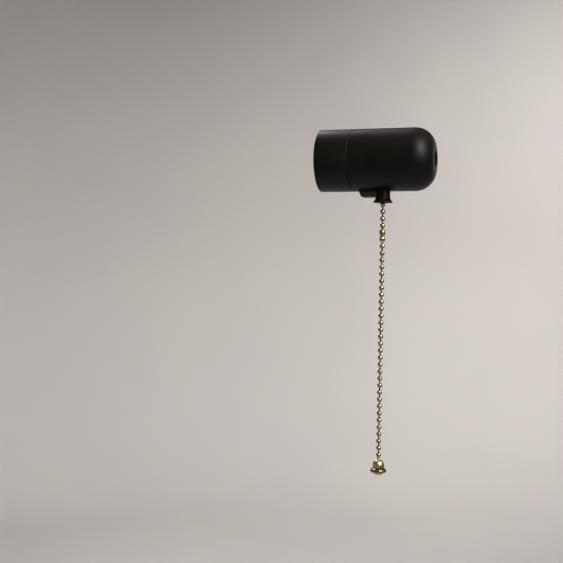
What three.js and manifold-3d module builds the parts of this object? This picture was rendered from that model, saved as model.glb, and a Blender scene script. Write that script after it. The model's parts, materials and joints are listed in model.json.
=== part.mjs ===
// Pull-chain switch built into a lampholder, in millimetres, +Z up.
// X runs along the housing: the lamp mouth faces -X and the threaded entry of the body faces +X.
// The origin is the centre of the threaded entry, on the flat end face of the body.
// The chain hangs down along -Z, and a pull on it turns a lever that indexes a ratchet switch.

import * as THREE from "three";
import { mergeVertices } from "three/addons/utils/BufferGeometryUtils.js";
import Module from "manifold-3d";

const wasm = await Module();
wasm.setup();

// ---- Driving dimensions ----

const gap = 0.3; // between solids that touch on the real object
const housing = { radius: 19, length: 70.5, seamX: -50, endRadius: 12, edgeRadius: 0.8 };
const chamber = { radius: 14.9, endX: -6, endRadius: 6, shoulderX: -44 };
const spigot = { outer: 17.3, inner: 15.9, length: 3.2 };
const entry = { holeRadius: 5.1, lip: 1.5, pocketRadius: 6.5, boreRadius: 4.5, threadPitch: 1 };
const lampThread = { radius: 13, depth: 0.5, pitch: 3.629, wall: 0.4, mouthX: -67.5 };
const guide = { x: -31.5, bore: 2.1, shank: 3.7, neck: 4.4, mouth: 6, topZ: -10.4, mouthZ: -25.8 };
const guideSeatZ = -18; // floor of the round recess that the guide's neck stands in
const pad = { leftX: -45.6, bottomLeftX: -43.8, rightX: -34.5, bottomZ: -22.5, halfWidth: 4.2 };
const lever = { radius: 12, swing: THREE.MathUtils.degToRad(45), axleRadius: 1.5, hookRadius: 4.4 };
const pawlPinX = -8.2; // along the lever's arm, from its axle
const restAngle = lever.swing / 2; // the arm starts this far above level and ends as far below it
const ratchet = { teeth: 12, tipRadius: 6, rootRadius: 5, low: 1.7, high: 4.9 };
const chain = { ballRadius: 1.6, topZ: -26.3, bellTopZ: -180.2 };
const connector = { radius: 1.95, topZ: -42.2, length: 7.2 };
const bell = { dome: 3.6, rim: 4.9, base: 2.7 };

// The chain hangs half way between the ends of the arc that the lever's tip makes.
const axle = { x: guide.x + lever.radius * (1 + Math.cos(restAngle)) / 2, z: 1 };
const mouthX = -housing.length;
const core = { frontX: -47.5, rearX: chamber.shoulderX - gap, radius: 15.6 };
const hub = { x: -40.2, radius: 5.5 }; // the core's boss round the plunger's spring
const frame = { frontX: -43.3, inner: 7.2, outer: 8.8, low: -8, high: 9.5 };
const web = { frontX: -12.2, rearX: -10.6 };
const screwAt = { y: 8, z: 6, holeRadius: 1.55 };
const terminal = { x: -8.45, y: 7.2 };
const rivetAt = { y: 3.3, z: 7.5 };
const blade = { inner: 5.95, outer: 6.4, halfWidth: 2.2 }; // the two blades beside the rotor contact

const coarse = 20;
const fine = 32;

// ---- Materials ----

function finish(color, roughness, metalness) {
  return new THREE.MeshStandardMaterial({ color, roughness, metalness });
}

const phenolic = finish(0x14130f, 0.35, 0);
const brownPhenolic = finish(0x2a130c, 0.4, 0);
const switchPhenolic = finish(0x3a2416, 0.55, 0);
const brass = finish(0xb08a45, 0.3, 1);
const antiqueBrass = finish(0x8f7338, 0.35, 1);
const shellMetal = finish(0xc9c4b4, 0.35, 1);
const zincSteel = finish(0xaab0b4, 0.35, 1);
const springSteel = finish(0x6f7377, 0.4, 1);

// ---- Geometry helpers ----

function signedVolume(position, index) {
  const [a, b, c] = [new THREE.Vector3(), new THREE.Vector3(), new THREE.Vector3()];
  let volume = 0;
  for (let i = 0; i < index.length; i += 3) {
    a.fromBufferAttribute(position, index[i]);
    b.fromBufferAttribute(position, index[i + 1]);
    c.fromBufferAttribute(position, index[i + 2]);
    volume += a.dot(b.cross(c)) / 6;
  }
  return volume;
}

// One closed skin with shared vertices and outward faces, as the booleans need it.
function weld(geometry) {
  const bare = geometry.clone();
  bare.deleteAttribute("normal");
  bare.deleteAttribute("uv");
  const welded = mergeVertices(bare, 1e-4);
  const source = welded.index.array;
  const kept = [];
  for (let i = 0; i < source.length; i += 3) {
    const corners = [source[i], source[i + 1], source[i + 2]];
    if (new Set(corners).size === 3) kept.push(...corners);
  }
  if (signedVolume(welded.attributes.position, kept) < 0) kept.reverse();
  welded.setIndex(kept);
  welded.computeVertexNormals();
  return welded;
}

function toSolid(geometry) {
  const welded = weld(geometry);
  const vertProperties = new Float32Array(welded.attributes.position.array);
  const triVerts = new Uint32Array(welded.index.array);
  return new wasm.Manifold(new wasm.Mesh({ numProp: 3, vertProperties, triVerts }));
}

function toGeometry(solid) {
  const mesh = solid.getMesh();
  const geometry = new THREE.BufferGeometry();
  geometry.setAttribute("position", new THREE.BufferAttribute(mesh.vertProperties, 3));
  geometry.setIndex(new THREE.BufferAttribute(mesh.triVerts, 1));
  geometry.computeVertexNormals();
  return geometry;
}

function join(...geometries) {
  return toGeometry(geometries.map(toSolid).reduce((whole, next) => whole.add(next)));
}

function cut(geometry, ...tools) {
  return toGeometry(tools.map(toSolid).reduce((left, tool) => left.subtract(tool), toSolid(geometry)));
}

function polar(radius, degrees) {
  const angle = THREE.MathUtils.degToRad(degrees);
  return [radius * Math.cos(angle), radius * Math.sin(angle)];
}

// Points of a circular arc, from one angle to another in degrees, in an outline's own plane.
function arc(centreX, centreY, radius, from, to, steps) {
  return Array.from({ length: steps + 1 }, (_, i) => {
    const [x, y] = polar(radius, from + (to - from) * i / steps);
    return [centreX + x, centreY + y];
  });
}

// A turned solid. The outline is a list of [position along the axis, radius].
function turned(outline, segments, closed = true) {
  const points = outline.map(([along, radius]) => new THREE.Vector2(radius, along));
  if (closed) points.push(points[0].clone());
  return new THREE.LatheGeometry(points, segments);
}

function turnedAlongX(outline, segments, closed) {
  return turned(outline, segments, closed).rotateZ(-Math.PI / 2);
}

function turnedAlongZ(outline, segments, closed) {
  return turned(outline, segments, closed).rotateX(Math.PI / 2);
}

function box(x, y, z) {
  const geometry = new THREE.BoxGeometry(x[1] - x[0], y[1] - y[0], z[1] - z[0]);
  return geometry.translate((x[0] + x[1]) / 2, (y[0] + y[1]) / 2, (z[0] + z[1]) / 2);
}

// Plain pins and drills: the span is along the named axis, and the other two place its centre.
function pinAlongX(radius, x, y, z, segments = 16) {
  const pin = new THREE.CylinderGeometry(radius, radius, x[1] - x[0], segments);
  return pin.rotateZ(Math.PI / 2).translate((x[0] + x[1]) / 2, y, z);
}

function pinAlongY(radius, x, y, z, segments = 16) {
  const pin = new THREE.CylinderGeometry(radius, radius, y[1] - y[0], segments);
  return pin.translate(x, (y[0] + y[1]) / 2, z);
}

function pinAlongZ(radius, x, y, z, segments = 16) {
  const pin = new THREE.CylinderGeometry(radius, radius, z[1] - z[0], segments);
  return pin.rotateX(Math.PI / 2).translate(x, y, (z[0] + z[1]) / 2);
}

function outline(points) {
  return new THREE.Shape(points.map(([x, y]) => new THREE.Vector2(x, y)));
}

// A plate whose outline lies in the XZ plane, between two values of Y.
function plateXZ(shape, y, curveSegments = 8) {
  const settings = { depth: y[1] - y[0], bevelEnabled: false, curveSegments };
  const plate = new THREE.ExtrudeGeometry(shape, settings);
  return plate.rotateX(Math.PI / 2).translate(0, y[1], 0);
}

// A strip whose outline lies in the XY plane, between two values of Z.
function plateXY(shape, z) {
  const plate = new THREE.ExtrudeGeometry(shape, { depth: z[1] - z[0], bevelEnabled: false });
  return plate.translate(0, 0, z[0]);
}

function wireAlong(points, radius, steps, sides) {
  const section = outline(arc(0, 0, radius, 0, 360 - 360 / sides, sides - 1));
  const extrudePath = new THREE.CatmullRomCurve3(points);
  return new THREE.ExtrudeGeometry(section, { steps, bevelEnabled: false, extrudePath });
}

// Clearance holes for the two screws that hold the lamp contacts and the switch together.
function screwHoles(x) {
  return [1, -1].map((side) => pinAlongX(screwAt.holeRadius, x, side * screwAt.y, side * screwAt.z));
}

function mesh(name, geometry, material) {
  const piece = new THREE.Mesh(weld(geometry), material);
  piece.name = name;
  return piece;
}

function placed(pieces, x, y, z) {
  const group = new THREE.Group();
  group.position.set(x, y, z);
  group.add(...pieces);
  return group;
}

// ---- Housing ----

// The front shell is a ring around the lamp's thread. Its skirt enters the body's spigot.
function frontShell() {
  const rearX = housing.seamX - 0.15;
  const edge = housing.edgeRadius;
  const grooveX = housing.seamX - spigot.length - 0.4;
  const inner = 14.6;
  const profile = [
    [mouthX, inner + 0.4],
    ...arc(mouthX + edge, housing.radius - edge, edge, 180, 90, 3),
    [rearX, housing.radius],
    [rearX, spigot.outer + gap],
    [grooveX, spigot.outer + gap],
    [grooveX, spigot.inner - gap],
    [core.frontX - gap, spigot.inner - gap],
    [core.frontX - gap, inner],
    [mouthX + 0.4, inner],
  ];
  return mesh("front_shell", turnedAlongX(profile, fine), phenolic);
}

// The low pad beside the chain guide, with one sloping end, moulded in one with the body.
function guidePad() {
  const buriedZ = -17.5;
  const slope = (pad.bottomLeftX - pad.leftX) / (-housing.radius - pad.bottomZ);
  const buriedX = pad.leftX - slope * (buriedZ + housing.radius);
  const side = outline([
    [buriedX, buriedZ],
    [pad.bottomLeftX, pad.bottomZ],
    [pad.rightX, pad.bottomZ],
    [pad.rightX, buriedZ],
  ]);
  return plateXZ(side, [-pad.halfWidth, pad.halfWidth]);
}

function rearBody() {
  const radius = housing.radius;
  const roundX = -housing.endRadius;
  const cove = chamber.endRadius;
  const profile = [
    [housing.seamX - spigot.length, spigot.inner],
    [housing.seamX - spigot.length, spigot.outer],
    [housing.seamX, spigot.outer],
    [housing.seamX, radius],
    ...arc(roundX, radius - housing.endRadius, housing.endRadius, 90, 0, 8),
    [0, entry.holeRadius],
    [-entry.lip, entry.holeRadius],
    [-entry.lip, entry.pocketRadius],
    [chamber.endX, entry.pocketRadius],
    ...arc(chamber.endX - cove, chamber.radius - cove, cove, 0, 90, 4),
    [chamber.shoulderX, chamber.radius],
    [chamber.shoulderX, spigot.inner],
  ];
  const nutSeat = box([guide.x - 7.5, guide.x + 7.5], [-7, 7], [-16, -13.3]);
  const whole = join(turnedAlongX(profile, fine), guidePad(), nutSeat);
  const guideHole = pinAlongZ(guide.shank + gap, guide.x, 0, [guideSeatZ - 1, -12], coarse);
  const guideRecess = pinAlongZ(guide.neck + gap, guide.x, 0, [pad.bottomZ - 1, guideSeatZ], coarse);
  return mesh("rear_body", cut(whole, guideHole, guideRecess), phenolic);
}

// A brass insert with the female thread that takes the lamp's threaded tube.
function entryBushing() {
  const rearX = chamber.endX + 0.1;
  const frontX = -entry.lip - gap;
  const outer = entry.pocketRadius - gap;
  const profile = [[rearX, outer], [frontX, outer]];
  const turns = Math.floor((frontX - rearX) / entry.threadPitch);
  for (let turn = 0; turn < turns; turn += 1) {
    const crestX = frontX - turn * entry.threadPitch;
    profile.push([crestX, entry.boreRadius], [crestX - entry.threadPitch / 2, entry.boreRadius + 0.5]);
  }
  profile.push([rearX, entry.boreRadius]);
  return mesh("entry_bushing", turnedAlongX(profile, coarse), brass);
}

// ---- Chain guide ----

// A straight shank through the wall, and a neck outside it that flares to a trumpet's mouth.
function chainGuide() {
  const { bore, shank, neck, mouth, topZ, mouthZ } = guide;
  const profile = [
    [topZ, bore + 0.4],
    [topZ, shank],
    [guideSeatZ - gap, shank],
    [guideSeatZ - gap, neck],
    [mouthZ + 2.8, neck],
    [mouthZ + 1.7, neck + 0.5],
    [mouthZ + 0.9, neck + 1.1],
    [mouthZ + 0.3, mouth],
    [mouthZ, mouth - 0.2],
    [mouthZ, mouth - 0.9],
    [mouthZ + 1.6, bore + 1.1],
    [mouthZ + 3.4, bore],
    [topZ - 0.4, bore],
  ];
  return mesh("chain_guide", turnedAlongZ(profile, coarse), brownPhenolic);
}

function guideNut() {
  const halfHeight = 1.1;
  const nut = new THREE.CylinderGeometry(6.35, 6.35, 2 * halfHeight, 6);
  nut.rotateX(Math.PI / 2).rotateZ(Math.PI / 2);
  const hole = pinAlongZ(guide.shank + gap, 0, 0, [-2, 2], coarse);
  const geometry = cut(nut, hole).translate(0, 0, -13.3 + gap + halfHeight);
  return mesh("guide_nut", geometry, brass);
}

// ---- Lamp contacts ----

function insulatorCore() {
  const lip = 0.8;
  const profile = [
    [core.frontX, 2.65],
    [core.frontX, core.radius],
    [core.rearX, core.radius],
    [core.rearX, hub.radius],
    [hub.x, hub.radius],
    [hub.x, 3.4],
    [core.frontX + lip, 3.4],
    [core.frontX + lip, 2.65],
  ];
  const holes = screwHoles([core.frontX - 1, core.rearX + 1]);
  return mesh("insulator_core", cut(turnedAlongX(profile, fine), ...holes), switchPhenolic);
}

// The lamp's screw shell: a thin rolled wall whose thread is drawn as rings, with a floor.
function screwShell() {
  const floorX = core.frontX - gap;
  const perPitch = 4;
  const steps = Math.round((floorX - 1 - lampThread.mouthX) / lampThread.pitch * perPitch);
  const wave = Array.from({ length: steps + 1 }, (_, i) => {
    const x = lampThread.mouthX + i * lampThread.pitch / perPitch;
    return [x, lampThread.radius + lampThread.depth * Math.cos(2 * Math.PI * i / perPitch)];
  });
  const thickened = wave.map(([x, radius]) => [x, radius + lampThread.wall]);
  const floorRadius = lampThread.radius + lampThread.wall;
  const profile = [
    ...thickened,
    [floorX, floorRadius],
    [floorX, 7],
    [floorX - lampThread.wall, 7],
    [floorX - lampThread.wall, lampThread.radius],
    ...wave.slice().reverse(),
  ];
  const holes = screwHoles([floorX - 1, floorX + 1]);
  return mesh("screw_shell", cut(turnedAlongX(profile, coarse), ...holes), shellMetal);
}

// The centre contact is a plunger that the lamp's tip pushes in against a spring.
function centrePlunger() {
  const profile = [
    [-52.4, 0],
    [-52.1, 1.2],
    [-51.2, 2.1],
    [-50.4, 2.3],
    [-46.4, 2.3],
    [-46.4, 3.1],
    [-45.6, 3.1],
    [-45.6, 1.4],
    [-44.4, 1.4],
    [-44.4, 0],
  ];
  return mesh("centre_plunger", turnedAlongX(profile, 20, false), brass);
}

function plungerSpring() {
  const [startX, endX, coilRadius, turns, perTurn] = [-45, -40.85, 2.25, 4, 10];
  const points = Array.from({ length: turns * perTurn + 1 }, (_, i) => {
    const angle = 2 * Math.PI * i / perTurn;
    const x = startX + (endX - startX) * i / (turns * perTurn);
    return new THREE.Vector3(x, coilRadius * Math.cos(angle), coilRadius * Math.sin(angle));
  });
  return mesh("plunger_spring", wireAlong(points, 0.3, turns * perTurn, 6), springSteel);
}

// ---- Switch frame and wiring ----

function screwLug(side, frontX) {
  const y = [screwAt.y - 2, screwAt.y + 2.6].map((value) => side * value).sort((a, b) => a - b);
  const z = [screwAt.z - 2.1, screwAt.z + 2.4].map((value) => side * value).sort((a, b) => a - b);
  return box([frontX, -38], y, z);
}

// A moulded U of two side plates and a web. The open end of the U faces the insulator.
function mechanismFrame() {
  const plan = outline([
    [frame.frontX, frame.inner],
    [frame.frontX, frame.outer],
    [web.rearX, frame.outer],
    [web.rearX, -frame.outer],
    [frame.frontX, -frame.outer],
    [frame.frontX, -frame.inner],
    [web.frontX, -frame.inner],
    [web.frontX, frame.inner],
  ]);
  const lugs = [screwLug(1, chamber.shoulderX), screwLug(-1, frame.frontX)];
  const whole = join(plateXY(plan, [frame.low, frame.high]), ...lugs);
  const axleHole = pinAlongY(1.8, axle.x, [-12, 12], axle.z);
  const contactWindow = box([-14, -9], [5.6, 6.75], [-1.6, 3.6]);
  const rivetHole = pinAlongX(1, [-14, -9], rivetAt.y, rivetAt.z);
  const cutouts = [axleHole, contactWindow, rivetHole, ...screwHoles([-46, -36])];
  return mesh("mechanism_frame", cut(whole, ...cutouts), switchPhenolic);
}

// A pan-head screw along X, with its slot, from the floor of the screw shell into the frame.
function mechanismScrew(name, side) {
  const [tipX, seatX, topX] = [-38.4, -48.5, -49.6];
  const head = [[topX, 0], [topX, 1.8], [topX + 0.4, 2.1], [seatX, 2.1]];
  const shank = [[seatX, 1.25], [tipX, 1.25], [tipX, 0]];
  const body = turnedAlongX([...head, ...shank], 16, false);
  const slot = box([topX - 1, topX + 0.6], [-3, 3], [-0.3, 0.3]);
  const screw = mesh(name, cut(body, slot), zincSteel);
  screw.position.set(0, side * screwAt.y, side * screwAt.z);
  return screw;
}

// A brass blade from the plunger's spring round to the left side of the rotor contact.
function centreFeedStrip() {
  const [footX, bendX, endX, footY] = [-39.9, -39.5, -23, -2.8];
  const inner = [[bendX, footY], [bendX, blade.inner], [endX, blade.inner]];
  const plan = outline([[footX, footY], ...inner, [endX, blade.outer], [footX, blade.outer]]);
  const width = [axle.z - blade.halfWidth, axle.z + blade.halfWidth];
  return mesh("centre_feed_strip", plateXY(plan, width), brass);
}

// A brass blade from the live terminal, through the web, to the right side of the rotor contact.
function liveContactStrip() {
  const width = [axle.z - blade.halfWidth, axle.z + blade.halfWidth];
  const strip = box([-16.9, web.rearX], [blade.inner, blade.outer], width);
  return mesh("live_contact_strip", strip, brass);
}

// A brass strap from the screw shell's lower screw to the neutral terminal.
function shellStrap() {
  const foot = box([-44, -43.6], [-10.4, -6.2], [-8.2, -1.8]);
  const arm = box([-44, web.rearX], [-9.6, -9.1], [-3.6, -1.8]);
  const hole = pinAlongX(screwAt.holeRadius, [-46, -42], -screwAt.y, -screwAt.z);
  return mesh("shell_strap", cut(join(foot, arm), hole), brass);
}

function terminalBlock(name, side) {
  const body = box([-10.3, -6.6], [-2.6, 2.6], [-3.5, 3.5]);
  const wireHole = pinAlongX(1.3, [-9.2, -6], 0, -0.9);
  const screwHole = pinAlongZ(1.5, terminal.x, 0, [-0.9, 5]);
  const block = mesh(name, cut(body, wireHole, screwHole), brass);
  block.position.y = side * terminal.y;
  return block;
}

function terminalScrew(name, side) {
  const shank = [[0.9, 0], [0.9, 1.2], [3.8, 1.2]];
  const head = [[3.8, 2], [4.7, 2], [5, 1.7], [5, 0]];
  const body = turnedAlongZ([...shank, ...head], 16, false);
  const slot = box([-3, 3], [-0.3, 0.3], [4.4, 6]);
  const screw = mesh(name, cut(body, slot), zincSteel);
  screw.position.set(terminal.x, side * terminal.y, 0);
  return screw;
}

// ---- Ratchet switch, about the axle: the arm points to -X and the axle runs along Y ----

function leverAxle() {
  const head = pinAlongY(2.4, 0, [-10, -9.1], 0);
  const shank = pinAlongY(lever.axleRadius, 0, [-9.2, 9.15], 0, coarse);
  const neck = pinAlongY(1.1, 0, [9, 9.75], 0);
  const end = pinAlongY(lever.axleRadius, 0, [9.65, 10.2], 0, coarse);
  return mesh("lever_axle", join(head, shank, neck, end), zincSteel);
}

function axleClip() {
  const ring = outline(arc(0, 0, 2.9, 30, 330, 12).concat(arc(0, 0, 1.25, 330, 30, 10)));
  return mesh("axle_clip", plateXZ(ring, [9.25, 9.55]), springSteel);
}

function pullLever() {
  const boss = pinAlongY(3.6, 0, [-1, 1], 0, coarse);
  const sleeve = pinAlongY(2.6, 0, [-6.8, 1.4], 0, coarse);
  const underside = [[-1, -1.8], [-8.2, -1.6], [-9.8, -0.8], [-10.2, -0.8]];
  const top = underside.map(([x, z]) => [x, -z]).reverse();
  const arm = plateXZ(outline([...underside, ...top]), [-1, 1]);
  const table = box([-14.3, -9.9], [-2.7, 2.7], [-0.8, 0.8]);
  const bore = pinAlongY(lever.axleRadius + 0.08, 0, [-8, 3], 0, coarse);
  const slot = box([-16, -10.6], [-0.75, 0.75], [-2, 2]);
  const pinHole = pinAlongY(1.05, pawlPinX, [-2, 2], 0);
  const hookHole = pinAlongY(0.65, -lever.hookRadius, [-2, 2], 0, 10);
  const whole = join(boss, sleeve, arm, table);
  return mesh("pull_lever", cut(whole, bore, slot, pinHole, hookHole), zincSteel);
}

// The spring lies round the lever's sleeve. One leg bears on the web and the other is hooked
// through a hole in the arm.
function returnSpring() {
  const [coilRadius, turns, perTurn, lowY, highY] = [3.6, 4, 12, -6, -1.9];
  const startDegrees = -30;
  const endDegrees = 180 - THREE.MathUtils.radToDeg(restAngle) + turns * 360;
  const count = Math.round((endDegrees - startDegrees) / 360 * perTurn);
  const coil = Array.from({ length: count + 1 }, (_, i) => {
    const [x, z] = polar(coilRadius, startDegrees + (endDegrees - startDegrees) * i / count);
    return new THREE.Vector3(x, lowY + (highY - lowY) * i / count, z);
  });
  const webLeg = [new THREE.Vector3(6.9, lowY - 0.2, -6), new THREE.Vector3(5, lowY - 0.1, -4)];
  const [hookX, hookZ] = polar(lever.hookRadius, endDegrees);
  const hook = [highY + 0.1, highY + 0.8, 0, 0.4].map((y) => new THREE.Vector3(hookX, y, hookZ));
  return mesh("return_spring", wireAlong([...webLeg, ...coil, ...hook], 0.35, 76, 6), springSteel);
}

function drivePawl() {
  const shape = new THREE.Shape();
  shape.moveTo(-5.25, -3.75);
  shape.lineTo(-6.5, -4.6);
  shape.lineTo(-9.4, -0.6);
  shape.absarc(pawlPinX, 0, 1.3, THREE.MathUtils.degToRad(207), THREE.MathUtils.degToRad(-30), true);
  const hole = pinAlongY(0.85, pawlPinX, [0, 6], 0);
  return mesh("drive_pawl", cut(plateXZ(shape, [1.9, 3.5]), hole), springSteel);
}

function pawlPin() {
  const shank = pinAlongY(0.75, pawlPinX, [-1, 4], 0);
  const heads = [[-1.9, -1.3], [3.8, 4.4]].map((y) => pinAlongY(1.2, pawlPinX, y, 0));
  const ends = pinAlongY(0.75, pawlPinX, [-1.6, 4.1], 0);
  return mesh("pawl_pin", join(shank, ends, ...heads), zincSteel);
}

// Saw teeth: each has a radial face that the pawl pushes and a ramp that it slides back over.
function ratchetRotor() {
  const pitch = 360 / ratchet.teeth;
  const points = [];
  for (let tooth = 0; tooth < ratchet.teeth; tooth += 1) {
    points.push(polar(ratchet.rootRadius, tooth * pitch));
    points.push(...arc(0, 0, ratchet.tipRadius, tooth * pitch, tooth * pitch + pitch * 0.2, 1));
  }
  const wheel = plateXZ(outline(points), [ratchet.low, ratchet.high]);
  const boss = pinAlongY(2.3, 0, [ratchet.low + 1, 6.3], 0, coarse);
  const bore = pinAlongY(lever.axleRadius + 0.08, 0, [0, 8], 0, coarse);
  return mesh("ratchet_rotor", cut(join(wheel, boss), bore), switchPhenolic);
}

// Six lobes, so that each step of one tooth changes between on and off.
function rotorContact() {
  const lobes = ratchet.teeth / 2;
  const points = [];
  for (let lobe = 0; lobe < lobes; lobe += 1) {
    const middle = lobe * 360 / lobes;
    points.push(...arc(0, 0, 5.2, middle - 15, middle + 15, 3));
    points.push(...arc(0, 0, 3.4, middle + 15, middle + 45, 1));
  }
  const plate = plateXZ(outline(points), [5.2, 5.65]);
  const hole = pinAlongY(2.6, 0, [4, 7], 0, coarse);
  return mesh("rotor_contact", cut(plate, hole), brass);
}

// ---- Detent ----

function detentSpring() {
  const middle = [[-12.7, 9], [-12.7, 4.2], [-13.45, 1.2], [-12.8, -1.2]];
  const half = 0.2;
  const left = middle.map(([x, z]) => [x - half, z]);
  const right = middle.map(([x, z]) => [x + half, z]).reverse();
  const hole = pinAlongX(1, [-15, -11], rivetAt.y, rivetAt.z);
  const leaf = plateXZ(outline([...left, ...right]), [2.1, 4.5]);
  return mesh("detent_spring", cut(leaf, hole), springSteel);
}

function detentRivet() {
  const head = [[-13.8, 0], [-13.8, 0.7], [-13.2, 1.25], [-13.2, 0.7]];
  const tail = [[-10.3, 0.7], [-10.3, 1.2], [-9.8, 0.8], [-9.8, 0]];
  const rivet = mesh("detent_rivet", turnedAlongX([...head, ...tail], 16, false), zincSteel);
  rivet.position.set(0, rivetAt.y, rivetAt.z);
  return rivet;
}

// ---- Chain, on the guide's axis ----

// The ball that the fork pulls on stays this far above the arm's centre line.
const ballStandoff = 2.46;
const anchorZ = axle.z
  + (ballStandoff + (axle.x - guide.x) * Math.sin(restAngle)) / Math.cos(restAngle);

function chainAnchor() {
  const [stem, bottomZ] = [0.55, 4];
  const meet = Math.asin(stem / chain.ballRadius) * 180 / Math.PI;
  const ball = arc(anchorZ, 0, chain.ballRadius, 0, 180 - meet, 8);
  const profile = [...ball, [bottomZ, stem], [bottomZ, 0]];
  return mesh("chain_anchor", turnedAlongZ(profile, 16, false), antiqueBrass);
}

// Each run of chain is a plain tube of the balls' diameter.
function chainRun(name, topZ, bottomZ) {
  const points = [topZ, (topZ + bottomZ) / 2, bottomZ].map((z) => new THREE.Vector3(0, 0, z));
  const steps = Math.max(2, Math.round((topZ - bottomZ) / (6 * chain.ballRadius)));
  return mesh(name, wireAlong(points, chain.ballRadius, steps, 8), antiqueBrass);
}

function chainConnector() {
  const { radius, topZ, length } = connector;
  const bottomZ = topZ - length;
  const lowerRadius = radius - 0.2;
  const profile = [
    [topZ, 0],
    [topZ, 1.1],
    [topZ - 0.8, radius],
    [topZ - 0.55 * length, radius],
    [topZ - 0.6 * length, lowerRadius],
    [bottomZ + 0.8, lowerRadius],
    [bottomZ, 1.1],
    [bottomZ, 0],
  ];
  return mesh("chain_connector", turnedAlongZ(profile, 16, false), antiqueBrass);
}

// A dome, a thick rolled rim under it, and a smaller closing cup.
function bellPull() {
  const top = chain.bellTopZ;
  const centre = top - 0.5 - bell.dome;
  const roll = 1.2;
  const rimZ = centre - 3.3;
  const profile = [
    [top, 0],
    [top, 1],
    ...arc(centre, 0, bell.dome, 25, 90, 5),
    [rimZ + roll + 0.3, bell.dome],
    ...arc(rimZ, bell.rim - roll, roll, 50, 160, 4),
    [rimZ - roll, bell.base + 0.2],
    [rimZ - roll - 0.8, bell.base],
    [rimZ - roll - 1.5, bell.base * 0.6],
    [rimZ - roll - 1.6, 0],
  ];
  return mesh("bell_pull", turnedAlongZ(profile, coarse, false), antiqueBrass);
}

// ---- Assembly ----

const leverGroup = placed([pullLever(), drivePawl(), pawlPin()], axle.x, 0, axle.z);
leverGroup.rotation.y = restAngle;

const ratchetGroup = placed([leverAxle(), axleClip(), ratchetRotor(), rotorContact(), returnSpring()],
  axle.x, 0, axle.z);

const chainGroup = placed([
  chainGuide(),
  guideNut(),
  chainAnchor(),
  chainRun("chain_inner", 3.7, guide.mouthZ + gap),
  chainRun("chain_upper", chain.topZ, connector.topZ + gap),
  chainConnector(),
  chainRun("chain_lower", connector.topZ - connector.length - gap, chain.bellTopZ + gap),
  bellPull(),
], guide.x, 0, 0);

const pullSwitch = new THREE.Group();
pullSwitch.add(
  frontShell(), rearBody(), entryBushing(),
  insulatorCore(), screwShell(), centrePlunger(), plungerSpring(),
  mechanismFrame(), mechanismScrew("mechanism_screw_a", 1), mechanismScrew("mechanism_screw_b", -1),
  centreFeedStrip(), liveContactStrip(), shellStrap(),
  terminalBlock("terminal_block_a", 1), terminalBlock("terminal_block_b", -1),
  terminalScrew("terminal_screw_a", 1), terminalScrew("terminal_screw_b", -1),
  detentSpring(), detentRivet(),
  leverGroup, ratchetGroup, chainGroup,
);

export default pullSwitch;
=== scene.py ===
"""A pull-chain lampholder switch with its ball chain and bell, hanging in a plain pale studio.

The row frame is used throughout: +X along the housing to its threaded entry, +Z up, metres.
Outlines of turned pieces are lists of (position along the axis, radius) in millimetres.
"""

import json
import math

import bpy
from mathutils import Matrix, Vector


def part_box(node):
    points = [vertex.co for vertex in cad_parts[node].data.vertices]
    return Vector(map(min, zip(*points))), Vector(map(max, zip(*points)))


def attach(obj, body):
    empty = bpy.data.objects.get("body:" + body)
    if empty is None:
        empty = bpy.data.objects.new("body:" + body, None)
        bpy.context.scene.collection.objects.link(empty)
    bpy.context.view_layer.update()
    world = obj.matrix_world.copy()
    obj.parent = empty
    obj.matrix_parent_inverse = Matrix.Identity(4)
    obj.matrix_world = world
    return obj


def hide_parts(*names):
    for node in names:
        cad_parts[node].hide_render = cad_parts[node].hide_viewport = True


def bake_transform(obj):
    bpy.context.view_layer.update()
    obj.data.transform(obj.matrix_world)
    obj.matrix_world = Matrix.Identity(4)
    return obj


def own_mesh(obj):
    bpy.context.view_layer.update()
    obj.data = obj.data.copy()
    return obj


MM = 0.001
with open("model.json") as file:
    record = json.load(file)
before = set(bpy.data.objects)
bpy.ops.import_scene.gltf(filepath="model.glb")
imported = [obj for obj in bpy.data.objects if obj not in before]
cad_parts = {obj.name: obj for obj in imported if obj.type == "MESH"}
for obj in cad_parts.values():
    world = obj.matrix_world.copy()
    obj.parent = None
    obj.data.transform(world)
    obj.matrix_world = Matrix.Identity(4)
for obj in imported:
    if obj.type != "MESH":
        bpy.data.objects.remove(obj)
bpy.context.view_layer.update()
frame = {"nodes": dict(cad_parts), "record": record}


# ---------------------------------------------------------------- places, from the frame

def middle(node):
    low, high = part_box(node)
    return (low + high) / 2 / MM


def low_mm(node):
    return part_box(node)[0] / MM


def high_mm(node):
    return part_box(node)[1] / MM


HOUSING_RADIUS = high_mm("front_shell").z
MOUTH_X = low_mm("front_shell").x
SEAM_X = -50.0  # where the mouth ring meets the body
GUIDE_X = middle("chain_guide").x
GUIDE_MOUTH_Z = low_mm("chain_guide").z
PAD_Z = low_mm("rear_body").z
BELL_TOP_Z = high_mm("bell_pull").z
CONNECTOR_TOP_Z = high_mm("chain_connector").z
CONNECTOR_BOTTOM_Z = low_mm("chain_connector").z
AXLE = middle("lever_axle")

# ---------------------------------------------------------------- camera

VIEW_AZIMUTH = math.radians(17.5)
VIEW_DISTANCE = 0.600
VIEW_HEIGHT = -0.0745
VIEW_ROLL = math.radians(1.0)
GUIDE_OFFSET = 0.0604  # how far right of the view's centre line the chain hangs
LENS = 63.5


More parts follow.
